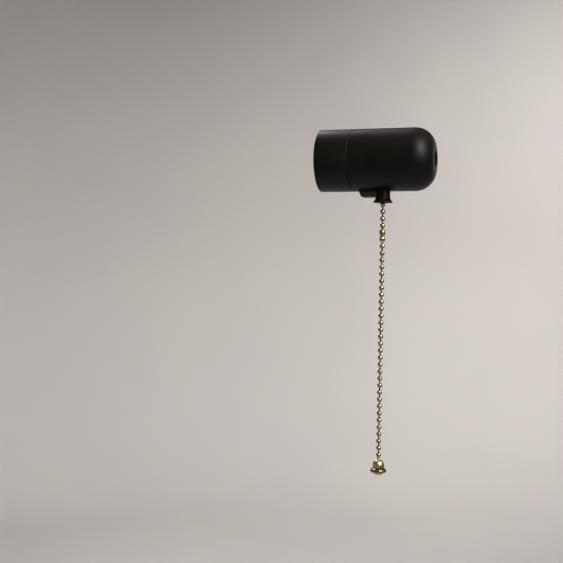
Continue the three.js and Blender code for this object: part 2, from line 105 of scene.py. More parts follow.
def make_camera():
    forward = Vector((-math.sin(VIEW_AZIMUTH), math.cos(VIEW_AZIMUTH), 0))
    right = Vector((math.cos(VIEW_AZIMUTH), math.sin(VIEW_AZIMUTH), 0))
    chain_foot = Vector((GUIDE_X * MM, 0, VIEW_HEIGHT))
    camera = bpy.data.objects.new("camera", bpy.data.cameras.new("camera"))
    camera.data.lens = LENS
    camera.data.clip_start = 0.01
    camera.data.clip_end = 20
    bpy.context.scene.collection.objects.link(camera)
    level = forward.to_track_quat("-Z", "Y").to_matrix().to_4x4()
    roll = Matrix.Rotation(VIEW_ROLL, 4, "Z")
    place = chain_foot - forward * VIEW_DISTANCE - right * GUIDE_OFFSET
    camera.matrix_world = Matrix.Translation(place) @ level @ roll
    bpy.context.scene.camera = camera


# ---------------------------------------------------------------- mesh helpers

def arc(centre, radius, start, end, steps):
    """Points of an arc in an outline's own plane, from one angle in degrees to another."""
    points = []
    for i in range(steps + 1):
        angle = math.radians(start + (end - start) * i / steps)
        points.append((centre[0] + radius * math.cos(angle), centre[1] + radius * math.sin(angle)))
    return points


AXES = {
    "x": lambda along, radius, angle: (along, radius * math.cos(angle), radius * math.sin(angle)),
    "y": lambda along, radius, angle: (radius * math.cos(angle), along, radius * math.sin(angle)),
    "z": lambda along, radius, angle: (radius * math.cos(angle), radius * math.sin(angle), along),
}


def shade(mesh, sharp_degrees=32):
    mesh.polygons.foreach_set("use_smooth", [True] * len(mesh.polygons))
    mesh.set_sharp_from_angle(angle=math.radians(sharp_degrees))
    mesh.update()


def make_piece(name, vertices, faces):
    """A mesh object from points in millimetres, with its faces turned outward."""
    mesh = bpy.data.meshes.new(name)
    mesh.from_pydata([tuple(c * MM for c in v) for v in vertices], [], faces)
    piece = bpy.data.objects.new(name, mesh)
    bpy.context.scene.collection.objects.link(piece)
    volume = 0.0
    for polygon in mesh.polygons:
        corners = [mesh.vertices[i].co for i in polygon.vertices]
        for i in range(1, len(corners) - 1):
            volume += corners[0].dot(corners[i].cross(corners[i + 1]))
    if volume < 0:
        mesh.flip_normals()
    shade(mesh)
    return piece


def skin(rings, closed):
    """Faces between rings of equal length. A ring whose points are all one point becomes a pole."""
    vertices, index = [], []
    for ring in rings:
        start = len(vertices)
        spread = max((Vector(p) - Vector(ring[0])).length for p in ring)
        if spread < 1e-6:
            vertices.append(ring[0])
            index.append([start] * len(ring))
        else:
            vertices.extend(ring)
            index.append(list(range(start, start + len(ring))))
    faces = []
    pairs = list(zip(index, index[1:] + index[:1] if closed else index[1:]))
    for below, above in pairs:
        for i in range(len(below)):
            j = (i + 1) % len(below)
            corners = []
            for corner in (below[i], below[j], above[j], above[i]):
                if corner not in corners:
                    corners.append(corner)
            if len(corners) > 2:
                faces.append(corners)
    return vertices, faces


def turned(name, outline, axis, centre=(0, 0, 0), segments=96, closed=True):
    """A turned piece. An outline that isn't closed starts and ends on the axis."""
    place = AXES[axis]
    rings = []
    for along, radius in outline:
        ring = [place(along, radius, 2 * math.pi * i / segments) for i in range(segments)]
        rings.append([tuple(a + b for a, b in zip(p, centre)) for p in ring])
    return make_piece(name, *skin(rings, closed))


def block(name, low, high):
    x_ends, y_ends, z_ends = zip(low, high)
    corners = [(x, y, z) for x in x_ends for y in y_ends for z in z_ends]
    faces = [(0, 1, 3, 2), (4, 6, 7, 5), (0, 4, 5, 1), (2, 3, 7, 6), (0, 2, 6, 4), (1, 5, 7, 3)]
    return make_piece(name, corners, faces)


def cut_away(piece, *tools):
    """Cuts the tools out of the piece with the exact solver, at once, and removes them."""
    for tool in tools:
        change = piece.modifiers.new("cut", "BOOLEAN")
        change.operation = "DIFFERENCE"
        change.solver = "EXACT"
        change.object = tool
        with bpy.context.temp_override(object=piece, active_object=piece):
            bpy.ops.object.modifier_apply(modifier=change.name)
        bpy.data.objects.remove(tool)
    shade(piece.data)
    return piece


def wire(name, points, radius, sides=12):
    """A round wire along smooth points in millimetres, with closed ends."""
    path = [Vector(p) for p in points]
    rings = []
    normal = None
    for i, here in enumerate(path):
        ahead = (path[min(i + 1, len(path) - 1)] - path[max(i - 1, 0)]).normalized()
        if normal is None:
            normal = ahead.orthogonal().normalized()
        normal = (normal - ahead * normal.dot(ahead)).normalized()
        side = ahead.cross(normal)
        ring = []
        for k in range(sides):
            angle = 2 * math.pi * k / sides
            ring.append(tuple(here + (normal * math.cos(angle) + side * math.sin(angle)) * radius))
        rings.append(ring)
    first, last = [tuple(path[0])] * sides, [tuple(path[-1])] * sides
    return make_piece(name, *skin([first, *rings, last], False))


# ---------------------------------------------------------------- materials

class Nodes:
    """A material's node tree, with short calls for the few nodes that are used here."""

    def __init__(self, name):
        self.material = bpy.data.materials.new(name)
        self.material.use_nodes = True
        self.tree = self.material.node_tree
        self.shader = self.tree.nodes["Principled BSDF"]
        self.place = self.add("ShaderNodeTexCoord").outputs["Object"]

    def add(self, kind, **settings):
        node = self.tree.nodes.new(kind)
        for key, value in settings.items():
            setattr(node, key, value)
        return node

    def link(self, source, target):
        self.tree.links.new(source, target)

    def noise(self, scale, detail=3.0, roughness=0.55, stretch=None):
        node = self.add("ShaderNodeTexNoise")
        node.inputs["Scale"].default_value = scale
        node.inputs["Detail"].default_value = detail
        node.inputs["Roughness"].default_value = roughness
        source = self.place
        if stretch:
            mapping = self.add("ShaderNodeMapping")
            mapping.inputs["Scale"].default_value = stretch
            self.link(source, mapping.inputs["Vector"])
            source = mapping.outputs["Vector"]
        self.link(source, node.inputs["Vector"])
        return node.outputs["Fac"]

    def ramp(self, source, *stops):
        node = self.add("ShaderNodeValToRGB")
        elements = node.color_ramp.elements
        while len(elements) < len(stops):
            elements.new(0.5)
        for element, (position, color) in zip(elements, stops):
            element.position = position
            element.color = (*color, 1)
        self.link(source, node.inputs["Fac"])
        return node.outputs["Color"]

    def span(self, source, low, high, out_low, out_high):
        node = self.add("ShaderNodeMapRange")
        ends = {"From Min": low, "From Max": high, "To Min": out_low, "To Max": out_high}
        for key, value in ends.items():
            node.inputs[key].default_value = value
        self.link(source, node.inputs["Value"])
        return node.outputs["Result"]

    def mix(self, factor, first, second):
        """A blend of two colours. Each of the three is a plain value or another node's output."""
        node = self.add("ShaderNodeMix", data_type="RGBA")
        factor_socket, first_socket, second_socket, result_socket = 0, 6, 7, 2
        sockets = {factor_socket: factor, first_socket: first, second_socket: second}
        for key, value in sockets.items():
            if isinstance(value, tuple):
                node.inputs[key].default_value = (*value, 1)
            elif isinstance(value, (float, int)):
                node.inputs[key].default_value = value
            else:
                self.link(value, node.inputs[key])
        return node.outputs[result_socket]

    def math(self, operation, first, second=0.0):
        node = self.add("ShaderNodeMath", operation=operation)
        for socket, value in zip(node.inputs, (first, second)):
            if isinstance(value, (float, int)):
                socket.default_value = value
            else:
                self.link(value, socket)
        return node.outputs[0]

    def worn_edges(self, low, high):
        """0 on flats and 1 on convex edges."""
        geometry = self.add("ShaderNodeNewGeometry")
        return self.span(geometry.outputs["Pointiness"], low, high, 0.0, 1.0)

    def bump(self, height, strength, distance):
        node = self.add("ShaderNodeBump")
        node.inputs["Strength"].default_value = strength
        node.inputs["Distance"].default_value = distance
        self.link(height, node.inputs["Height"])
        self.link(node.outputs["Normal"], self.shader.inputs["Normal"])

    def set(self, **values):
        for key, value in values.items():
            socket = self.shader.inputs[key.replace("_", " ")]
            if isinstance(value, (float, int)):
                socket.default_value = value
            else:
                self.link(value, socket)
        return self.material


def moulded(name, dark, light, edge, gloss, shine=0.5, underside_painted_light=None):
    """Moulded thermoset: faint flow marks, a fine skin, and slightly rubbed edges.

    The low-face colour is painted reflected light: a lighter olive tint over whatever lies below
    the housing's own underside.
    """
    nodes = Nodes(name)
    flow = nodes.noise(60, 4, 0.6, (1.0, 2.2, 1.4))
    specks = nodes.noise(1400, 2, 0.5)
    colour = nodes.ramp(flow, (0.3, dark), (0.75, light))
    colour = nodes.mix(nodes.span(specks, 0.62, 0.75, 0.0, 0.35), colour, edge)
    colour = nodes.mix(nodes.math("MULTIPLY", nodes.worn_edges(0.52, 0.6), 0.5), colour, edge)
    # Painted reflected light: whatever lies below the housing's underside takes a lighter olive
    # tint.
    if underside_painted_light:
        height = nodes.add("ShaderNodeSeparateXYZ")
        nodes.link(nodes.place, height.inputs[0])
        underside = -HOUSING_RADIUS * MM
        under = nodes.span(height.outputs["Z"], underside - 0.0006, underside - 0.0001, 1.0, 0.0)
        colour = nodes.mix(under, colour, underside_painted_light)
    smears = nodes.noise(140, 3, 0.6)
    nodes.bump(nodes.noise(900, 3, 0.6), 0.06, 0.0002)
    nodes.set(Base_Color=colour, Roughness=nodes.span(smears, 0.3, 0.7, gloss, gloss + 0.12))
    return nodes.set(Specular_IOR_Level=shine)


def metal(name, colour, tarnish, gloss, brushed=None):
    """Metal with tarnish in patches, brighter rubbed edges and fine grain."""
    nodes = Nodes(name)
    patches = nodes.noise(220, 4, 0.62)
    share = nodes.span(patches, 0.42, 0.72, 0.0, 0.5)
    blend = nodes.mix(share, colour, tarnish)
    lighter = tuple(min(1.0, c * 1.15 + 0.02) for c in colour)
    blend = nodes.mix(nodes.math("MULTIPLY", nodes.worn_edges(0.52, 0.62), 0.6), blend, lighter)
    fine = nodes.noise(500, 3, 0.6, brushed)
    nodes.bump(fine, 0.08, 0.0001)
    nodes.set(Base_Color=blend, Roughness=nodes.span(fine, 0.3, 0.7, gloss, gloss + 0.14))
    return nodes.set(Metallic=1.0)


CHAIN_BRASS = (0.40, 0.335, 0.205)
CHAIN_TARNISH = (0.19, 0.145, 0.08)
JOINT_PATINA = (0.05, 0.035, 0.018)
BELL_BRASS = (0.58, 0.49, 0.24)
RIM_PAINTED_SHADE = (0.06, 0.042, 0.018)
CUP_PAINTED_HIGHLIGHT = (0.78, 0.70, 0.48)


def chain_metal(name):
    """Antique brass: dark in the chain's joints and lighter on the bell, with painted shade round
    the bell's rim and a painted highlight on the cup below it.
    """
    nodes = Nodes(name)
    offset = nodes.add("ShaderNodeVectorMath", operation="SUBTRACT")
    offset.inputs[1].default_value = (GUIDE_X * MM, 0, 0)
    nodes.link(nodes.place, offset.inputs[0])
    flat = nodes.add("ShaderNodeVectorMath", operation="MULTIPLY")
    flat.inputs[1].default_value = (1, 1, 0)
    nodes.link(offset.outputs[0], flat.inputs[0])
    reach = nodes.add("ShaderNodeVectorMath", operation="LENGTH")
    nodes.link(flat.outputs[0], reach.inputs[0])
    joints = nodes.span(reach.outputs["Value"], 0.0007, 0.0013, 1.0, 0.0)
    patches = nodes.span(nodes.noise(420, 4, 0.6), 0.45, 0.75, 0.0, 0.5)
    brass = nodes.mix(patches, CHAIN_BRASS, CHAIN_TARNISH)
    height = nodes.add("ShaderNodeSeparateXYZ")
    nodes.link(nodes.place, height.inputs[0])
    bell_top = BELL_TOP_Z * MM
    on_bell = nodes.span(height.outputs["Z"], bell_top - 0.0004, bell_top, 1.0, 0.0)
    brass = nodes.mix(on_bell, brass, BELL_BRASS)
    colour = nodes.mix(joints, brass, JOINT_PATINA)
    # Painted shade: a dark band round the bell's rim, set by height.
    rim_low, rim_high = (BELL_TOP_Z - 8.6) * MM, (BELL_TOP_Z - 5.0) * MM
    above = nodes.span(height.outputs["Z"], rim_low, rim_low + 0.0003, 0.0, 1.0)
    below = nodes.span(height.outputs["Z"], rim_high - 0.0006, rim_high, 0.8, 0.0)
    colour = nodes.mix(nodes.math("MULTIPLY", above, below), colour, RIM_PAINTED_SHADE)
    # Painted highlight: the closing cup below the rim is made lighter.
    cup = nodes.span(height.outputs["Z"], rim_low - 0.0001, rim_low + 0.0001, 1.0, 0.0)
    colour = nodes.mix(cup, colour, CUP_PAINTED_HIGHLIGHT)
    nodes.bump(nodes.noise(1600, 2, 0.5), 0.05, 0.0001)
    gloss = nodes.span(patches, 0.0, 0.5, 0.11, 0.26)
    gloss = nodes.math("ADD", nodes.math("MULTIPLY", joints, 0.25), gloss)
    gloss = nodes.math("ADD", gloss, nodes.math("MULTIPLY", on_bell, 0.12))
    return nodes.set(Base_Color=colour, Roughness=gloss, Metallic=1.0)


MATERIALS = {
    # Painted shadow: the black and brown phenolic base colours and specular levels are set darker
    # than the real moulding. They stand for the shadow that the lamp's glass shade casts over the
    # housing.
    "black_phenolic": moulded(
        "black_phenolic", dark=(0.0026, 0.0025, 0.0017), light=(0.0045, 0.0042, 0.0029),
        edge=(0.013, 0.012, 0.009), gloss=0.36, shine=0.12, underside_painted_light=(0.030, 0.027, 0.013)),
    "brown_phenolic": moulded(
        "brown_phenolic", dark=(0.008, 0.0020, 0.0010), light=(0.014, 0.0036, 0.0018),
        edge=(0.035, 0.012, 0.006), gloss=0.34, shine=0.10),
    "inner_phenolic": moulded(
        "inner_phenolic", dark=(0.10, 0.052, 0.026), light=(0.16, 0.085, 0.045),
        edge=(0.25, 0.15, 0.09), gloss=0.42),
    "brass": metal(
        "brass", colour=(0.74, 0.54, 0.25), tarnish=(0.42, 0.28, 0.12), gloss=0.24,
        brushed=(1.0, 1.0, 6.0)),
    "chain_brass": chain_metal("chain_brass"),
    "shell_metal": metal(
        "shell_metal", colour=(0.80, 0.78, 0.72), tarnish=(0.55, 0.52, 0.46), gloss=0.26,
        brushed=(8.0, 1.0, 1.0)),
    "zinc_steel": metal(
        "zinc_steel", colour=(0.66, 0.68, 0.70), tarnish=(0.45, 0.45, 0.44), gloss=0.28),
    "spring_steel": metal(
        "spring_steel", colour=(0.40, 0.41, 0.43), tarnish=(0.20, 0.19, 0.18), gloss=0.3,
        brushed=(1.0, 6.0, 1.0)),
}
NODE_SLOTS = {s["node"]: s["material_slot"] for s in frame["record"]["subparts"]}
NODE_BODIES = {
    node: body
    for body, members in frame["record"]["behaviour"]["bodies"].items()
    for node in members
}


def finish_cad_nodes():
    for name, node in frame["nodes"].items():
        node.data.materials.clear()
        node.data.materials.append(MATERIALS[NODE_SLOTS[name]])


def stands_for(piece, *nodes, rides=True):
    """The piece takes the place, body, slot and material of the CAD nodes."""
    if rides:
        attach(piece, NODE_BODIES[nodes[0]])
    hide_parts(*nodes)
    piece.data.materials.clear()
    piece.data.materials.append(MATERIALS[NODE_SLOTS[nodes[0]]])
    return piece


# ---------------------------------------------------------------- ball chain

BALL_RADIUS = 1.6
BALL_PITCH = 4.2
LINK_RADIUS = 0.45
EYE_DEGREES = 22  # how far from the axis each ball's metal closes in on its link
CHAIN_PART = 0.35  # how far the inner and the hanging chain each end from the swing's centre


def chain_outline(balls, tail_top, tail_bottom):
    """Balls at the given heights, joined by thin links, with a link end above and below."""
    neck = BALL_RADIUS * math.cos(math.radians(EYE_DEGREES)) - 0.12
    points = [(tail_top, 0.0), (tail_top, LINK_RADIUS)]
    for i, height in enumerate(balls):
        points.append((height + neck, LINK_RADIUS))
        points.extend(arc((height, 0), BALL_RADIUS, EYE_DEGREES, 180 - EYE_DEGREES, 12))
        points.append((height - neck, LINK_RADIUS))
        if i + 1 < len(balls):
            between = (height + balls[i + 1]) / 2
            points.append((between, LINK_RADIUS * 0.85))
    points.extend([(tail_bottom, LINK_RADIUS), (tail_bottom, 0.0)])
    return points


def evenly(first, last):
    """Ball heights from the first down to the last, at the pitch that fits best."""
    steps = max(1, round((first - last) / BALL_PITCH))
    return [first + (last - first) * i / steps for i in range(steps + 1)]


CLASP_MIDDLE = (CONNECTOR_TOP_Z + CONNECTOR_BOTTOM_Z) / 2
CLASPED_TOP = CLASP_MIDDLE + 1.85
CLASPED_BOTTOM = CLASP_MIDDLE - 2.1


def make_hanging_chain():
    """The free chain, from the guide's mouth to the bell, with two balls inside the connector."""
    upper = evenly(GUIDE_MOUTH_Z - 1.2, CLASPED_TOP)
    lower = evenly(CLASPED_BOTTOM, BELL_TOP_Z + BALL_RADIUS + 0.3)
    outline = chain_outline(upper + lower, GUIDE_MOUTH_Z + CHAIN_PART, BELL_TOP_Z - 0.1)
    chain = turned("ball_chain", outline, "z", (GUIDE_X, 0, 0), 24, closed=False)
    return stands_for(chain, "chain_upper", "chain_lower")


def make_inner_chain():
    """The chain that runs inside the housing and the guide, below its headed pin."""
    top, bottom = high_mm("chain_inner").z, low_mm("chain_inner").z
    balls = evenly(top - BALL_RADIUS, bottom + 2.6)
    outline = chain_outline(balls, top, bottom + CHAIN_PART)
    inner = turned("inner_ball_chain", outline, "z", (GUIDE_X, 0, 0), 24, closed=False)
    return stands_for(inner, "chain_inner")


def make_chain_pin():
    top, bottom = high_mm("chain_anchor").z, low_mm("chain_anchor").z
    stem = 0.55
    head = arc((top - BALL_RADIUS, 0), BALL_RADIUS, 0, 160, 20)
    outline = [*head, (bottom + 0.2, stem), (bottom, stem - 0.2), (bottom, 0)]
    pin = turned("chain_pin", outline, "z", (GUIDE_X, 0, 0), 40, closed=False)
    return stands_for(pin, "chain_anchor")


def bulge(height, centre, radius, reach):
    """How far a rounded bulge stands out at this height."""
    t = min(1.0, abs(height - centre) / reach)
    return radius * math.sqrt(max(0.0, 1 - t * t))


def make_connector():
    """A sleeve of rolled sheet round two balls, the upper bulge larger, slotted down the front."""
    top, bottom = CONNECTOR_TOP_Z, CONNECTOR_BOTTOM_Z
    steps, waist, sheet = 48, 1.12, 0.25
    outer, inner = [], []
    for i in range(steps + 1):
        height = bottom + (top - bottom) * i / steps
        upper = bulge(height, CLASPED_TOP, 1.95, 2.35)
        lower = bulge(height, CLASPED_BOTTOM, 1.75, 2.2)
        radius = max(waist, math.hypot(upper ** 3, lower ** 3) ** (1 / 3))
        outer.append((height, radius))
        inner.append((height, radius - sheet))
    outline = [*outer, *reversed(inner)]
    barrel = turned("chain_connector_sleeve", outline, "z", (GUIDE_X, 0, 0), 64)
    slot_half, front = 0.35, -3
    slot_low = (GUIDE_X - slot_half, front, bottom + 1.4)
    slot_high = (GUIDE_X + slot_half, 0, top - 1.2)
    cut_away(barrel, block("slot", slot_low, slot_high))
    return stands_for(barrel, "chain_connector")


def make_bell():
    """A spun bell: a collar, a dome, a thick rolled rim and a smaller closing cup under it."""
    top = BELL_TOP_Z
    dome, rim, roll, cup = 3.6, 4.9, 1.2, 2.7
    centre = top - 0.5 - dome
    rim_z = centre - 3.3
    outline = [
        (top, 0.0), (top, 0.9), (top - 0.25, 1.1), (top - 0.5, 1.15),
        *arc((centre, 0), dome, 19, 90, 24),
        (rim_z + roll + 0.9, dome - 0.04), (rim_z + roll + 0.35, dome - 0.02),
        *arc((rim_z, rim - roll), roll, 20, 165, 22),
        (rim_z - roll + 0.1, cup + 0.25),
        (rim_z - roll - 0.15, cup),
        *arc((rim_z - roll - 0.7, cup - 0.9), 0.9, 90, 180, 8),
        (rim_z - roll - 1.6, 0.0),
    ]
    bell = turned("bell", outline, "z", (GUIDE_X, 0, 0), 72, closed=False)
    return stands_for(bell, "bell_pull")


# ---------------------------------------------------------------- housing

SPIGOT_RADIUS = 17.3
SPIGOT_INNER = 15.9
SPIGOT_LENGTH = 3.2
END_RADIUS = 12.0
PAD_LEFT, PAD_RIGHT, PAD_HALF_WIDTH = -45.6, -34.5, 4.2
GUIDE_SEAT_Z = -18.0  # floor of the round recess that the guide's neck stands in
GUIDE_NECK = 4.4
GUIDE_SHANK = 3.7
GUIDE_BORE = 2.1
CLEARANCE = 0.3


def make_front_shell():
    radius = HOUSING_RADIUS
    edge, lip = 0.8, 0.5
    socket, inner, mouth = SPIGOT_RADIUS + CLEARANCE, 15.6, 14.6
    rear = SEAM_X - 0.15
    groove = SEAM_X - SPIGOT_LENGTH - 0.4
    floor = high_mm("front_shell").x
    outline = [
        *arc((MOUTH_X + edge, radius - edge), edge, 180, 90, 8),
        (rear - 0.2, radius), (rear, radius - 0.2),
        (rear, socket), (groove, socket), (groove, inner), (floor, inner),
        (floor, mouth), (MOUTH_X + 0.9, mouth),
        *arc((MOUTH_X + lip, mouth + lip), lip, 270, 180, 5),
    ]
    piece = turned("mouth_ring", outline, "x", segments=160)
    return stands_for(piece, "front_shell")


def smoothstep(low, high, value):
    t = min(1.0, max(0.0, (value - low) / (high - low)))
    return t * t * (3 - 2 * t)


def pad_radius(x, angle, radius):
    """The body's radius where the flat pad stands out of it, with rounded sides."""
    y = radius * math.cos(angle)
    if math.sin(angle) > -0.5 or not PAD_LEFT - 1 < x < PAD_RIGHT + 1:
        return radius
    flat = -PAD_Z / -math.sin(angle)
    across = 1 - smoothstep(PAD_HALF_WIDTH - 0.6, PAD_HALF_WIDTH + 0.1, abs(y))
    left = smoothstep(PAD_LEFT - 0.7, PAD_LEFT + 1.9, x)
    right = 1 - smoothstep(PAD_RIGHT - 0.5, PAD_RIGHT + 0.1, x)
    return radius + max(0.0, flat - radius) * across * left * right


def body_stations():
    """Places along the body's outside as (x, radius), close together along the pad."""
    radius = HOUSING_RADIUS
    start, pad_end, round_start = SEAM_X + 1, PAD_RIGHT + 0.6, -END_RADIUS
    steps, far_steps = 72, 6
    stations = [(SEAM_X + 0.2, radius)]
    for i in range(steps + 1):
        stations.append((start + (pad_end - start) * i / steps, radius))
    for i in range(1, far_steps):
        stations.append((pad_end + (round_start - pad_end) * i / far_steps, radius))
    return stations + arc((round_start, radius - END_RADIUS), END_RADIUS, 90, 0, 28)


def body_inside():
    """The body's inside as (x, radius), from the threaded entry back to the seam."""
    hole, pocket, chamber, cove = 5.1, 6.5, 14.9, 6
    pocket_x, shoulder_x, spigot_x = -6, -44, SEAM_X - SPIGOT_LENGTH
    return [
        (0, hole), (-1.5, hole), (-1.5, pocket), (pocket_x, pocket),
        *arc((pocket_x - cove, chamber - cove), cove, 0, 90, 10),
        (shoulder_x, chamber), (shoulder_x, SPIGOT_INNER),
        (spigot_x, SPIGOT_INNER), (spigot_x, SPIGOT_RADIUS), (SEAM_X, SPIGOT_RADIUS),
        (SEAM_X, HOUSING_RADIUS - 0.2),
    ]


def make_rear_body():
    angles = []
    count = 240
    for i in range(count):
        angle = 2 * math.pi * i / count
        angles.append(angle)
        if abs(angle - 1.5 * math.pi) < 0.3:
            angles.append(angle + math.pi / count)
    outside = [[pad_radius(x, angle, radius) for angle in angles] for x, radius in body_stations()]
    inside = [[radius for _ in angles] for _, radius in body_inside()]
    places = [x for x, _ in body_stations() + body_inside()]
    rings = []
    for x, reaches in zip(places, outside + inside):
        rings.append([(x, r * math.cos(a), r * math.sin(a)) for r, a in zip(reaches, angles)])
    body = make_piece("switch_body", *skin(rings, True))
    recess, hole = GUIDE_NECK + CLEARANCE, GUIDE_SHANK + CLEARANCE
    below, above = PAD_Z - 2, -12
    cut = [(below, 0), (below, recess), (GUIDE_SEAT_Z, recess), (GUIDE_SEAT_Z, hole),
           (above, hole), (above, 0)]
    cut_away(body, turned("guide_hole", cut, "z", (GUIDE_X, 0, 0), 64, False))
    return stands_for(body, "rear_body")


def make_chain_guide():
    top, mouth = high_mm("chain_guide").z, GUIDE_MOUTH_Z
    seat = GUIDE_SEAT_Z - CLEARANCE
    lip, flare, trumpet = 6.0, 2.9, 3.4
    outside, inside = [], []
    for t in range(15):
        share = t / 14
        reach = GUIDE_NECK + (lip - 0.05 - GUIDE_NECK) * share ** 1.8
        outside.append((mouth + 0.35 + flare * (1 - share), reach))
    for t in range(12, -1, -1):
        share = t / 12
        inside.append((mouth + 0.1 + trumpet * (1 - share), GUIDE_BORE + 2.6 * share ** 1.9))
    outline = [
        (top, GUIDE_BORE + 0.4), (top, GUIDE_SHANK), (seat, GUIDE_SHANK), (seat, GUIDE_NECK),
        *outside,
        *arc((mouth + 0.3, lip - 0.3), 0.3, 60, 180, 6),
        *inside,
        (top - 0.4, GUIDE_BORE),
    ]
    guide = turned("flared_guide", outline, "z", (GUIDE_X, 0, 0), 96)
    return stands_for(guide, "chain_guide")


# ---------------------------------------------------------------- threads and lamp contacts

def ring_round_x(x, radii):
    """Points round the X axis at one x, with a radius for each."""
    ring = []
    for i, radius in enumerate(radii):
        angle = 2 * math.pi * i / len(radii)
        ring.append((x, radius * math.cos(angle), radius * math.sin(angle)))
    return ring


def thread_ring(x, turns, ease, profile, segments, side=0.0):
    """One ring of a helical thread. turns counts the pitches from its start."""
    radii = [profile(turns - i / segments, ease) + side for i in range(segments)]
    return ring_round_x(x, radii)


def make_screw_shell():
    """The lamp thread: one sheet wall that follows a helix, with a floor behind it."""
    floor = high_mm("screw_shell").x
    mouth = low_mm("screw_shell").x
    end, wall, pitch = floor - 1.0, 0.4, 3.629
    segments, per_pitch = 96, 12
    thread_radius, depth, bore = 13.0, 0.5, 7.0
    run_out = per_pitch * 0.6

    def wave(turns, ease):
        flare = 0.35 * (1 - ease) * (turns < 2)
        return thread_radius + depth * ease * math.cos(2 * math.pi * turns) + flare

    rows = int(abs(end - mouth) / pitch * per_pitch)
    outside, inside = [], []
    for row in range(rows + 1):
        x = mouth + (end - mouth) * row / rows
        ease = smoothstep(0, run_out, row) * smoothstep(0, run_out, rows - row)
        turns = (x - mouth) / pitch
        outside.append(thread_ring(x, turns, ease, wave, segments, wall))
        inside.append(thread_ring(x, turns, ease, wave, segments))
    back = [(floor, 13.2), (floor, bore), (floor - wall, bore), (floor - wall, 12.8)]
    floor_rings = [ring_round_x(x, [radius] * segments) for x, radius in back]
    rings = [*outside, *floor_rings, *reversed(inside)]
    shell = make_piece("lamp_thread", *skin(rings, True))
    screw_hole, screw_y, screw_z = 1.55, 8, 6
    for sign in (1, -1):
        outline = [(floor - 1, 0), (floor - 1, screw_hole), (floor + 1, screw_hole), (floor + 1, 0)]
        centre = (0, sign * screw_y, sign * screw_z)
        cut_away(shell, turned("hole", outline, "x", centre, 32, False))
    return stands_for(shell, "screw_shell")


def make_entry_bushing():
    """A round brass insert with a helical M10 x 1 thread inside."""
    low, high = low_mm("entry_bushing").x, high_mm("entry_bushing").x
    outer = high_mm("entry_bushing").z
    rows, segments, run_out, pitch = 48, 96, 6, 1.0
    edge, end_radius = 0.3, 4.8

    def ridge(turns, ease):
        return 4.5 + 0.5 * ease * abs(((turns % 1) * 2) - 1)

    rings = []
    for row in range(rows + 1):
        x = high + (low - high) * row / rows
        ease = smoothstep(0, run_out, row) * smoothstep(0, run_out, rows - row)
        rings.append(thread_ring(x, (high - x) / pitch, ease, ridge, segments))
    outside = [
        (low, end_radius), (low, outer - edge), (low + edge, outer),
        (high - edge, outer), (high, outer - edge), (high, end_radius),
    ]
    for x, radius in outside:
        rings.append(ring_round_x(x, [radius] * segments))
    return stands_for(make_piece("threaded_insert", *skin(rings, True)), "entry_bushing")


def make_plunger():
    """The lamp's centre contact: a domed nose, a stop flange and a stub inside its spring."""
    low, high = low_mm("centre_plunger").x, high_mm("centre_plunger").x
    nose, flange, stub = 2.3, 3.1, 1.4
    outline = [
        (low, 0), (low + 0.08, 0.8), (low + 0.5, 1.6), (low + 1.3, 2.15), (low + 2.2, nose),
        (high - 2, nose), (high - 2, flange - 0.1), (high - 1.9, flange),
        (high - 1.3, flange), (high - 1.2, flange - 0.1),
        (high - 1.2, stub), (high - 0.15, stub), (high, stub - 0.15), (high, 0),
    ]
    plunger = turned("contact_button", outline, "x", segments=64, closed=False)
    return stands_for(plunger, "centre_plunger")


def make_slotted_screw(node, axis):
    """A pan-head screw with a driver slot, in the space of its CAD node."""
    low, high = low_mm(node), high_mm(node)
    centre = (low + high) / 2
    if axis == "x":
        along, tip, way = low.x, high.x, 1
        place = (0, centre.y, centre.z)
    else:
        along, tip, way = high.z, low.z, -1
        place = (centre.x, centre.y, 0)
    head = (high.y - low.y) / 2
    outline = [
        (along, 0), (along, head * 0.72), (along + way * 0.12, head * 0.86),
        (along + way * 0.4, head * 0.98), (along + way * 0.7, head), (along + way * 1.1, head),
    ]
    pitch, groove = 0.5, 0.16
    shank = 1.25 if axis == "x" else 1.2
    position = along + way * 1.2
    while (tip - position) * way > pitch:
        outline.append((position, shank))
        outline.append((position + way * pitch / 2, shank - groove))
        position += way * pitch
    outline.extend([(tip - way * 0.2, shank - groove), (tip, shank - 0.4), (tip, 0)])
    screw = turned("screw_" + node, outline, axis, place, 40, closed=False)
    slot_half, slot_depth, reach = 0.3, 0.6, 3
    if axis == "x":
        slot_low = (along - 1, centre.y - reach, centre.z - slot_half)
        slot_high = (along + slot_depth, centre.y + reach, centre.z + slot_half)
    else:
        slot_low = (centre.x - reach, centre.y - slot_half, along - slot_depth)
        slot_high = (centre.x + reach, centre.y + slot_half, along + 1)
    cut_away(screw, block("slot", slot_low, slot_high))
    return stands_for(screw, node)


# ---------------------------------------------------------------- springs

def make_plunger_spring():
    """Four turns behind the plunger. On the real part they shorten as the plunger is pressed in."""
    low, high = low_mm("plunger_spring").x, high_mm("plunger_spring").x
    turns, per_turn, coil, thick, travel = 4, 36, 2.25, 0.3, 2.0
    points = []
    for i in range(turns * per_turn + 1):
        angle = 2 * math.pi * i / per_turn
        x = low + thick + (high - low - 2 * thick) * i / (turns * per_turn)
        points.append((x, coil * math.cos(angle), coil * math.sin(angle)))
    spring = stands_for(wire("contact_spring", points, thick), "plunger_spring")
    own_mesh(spring)
    return spring


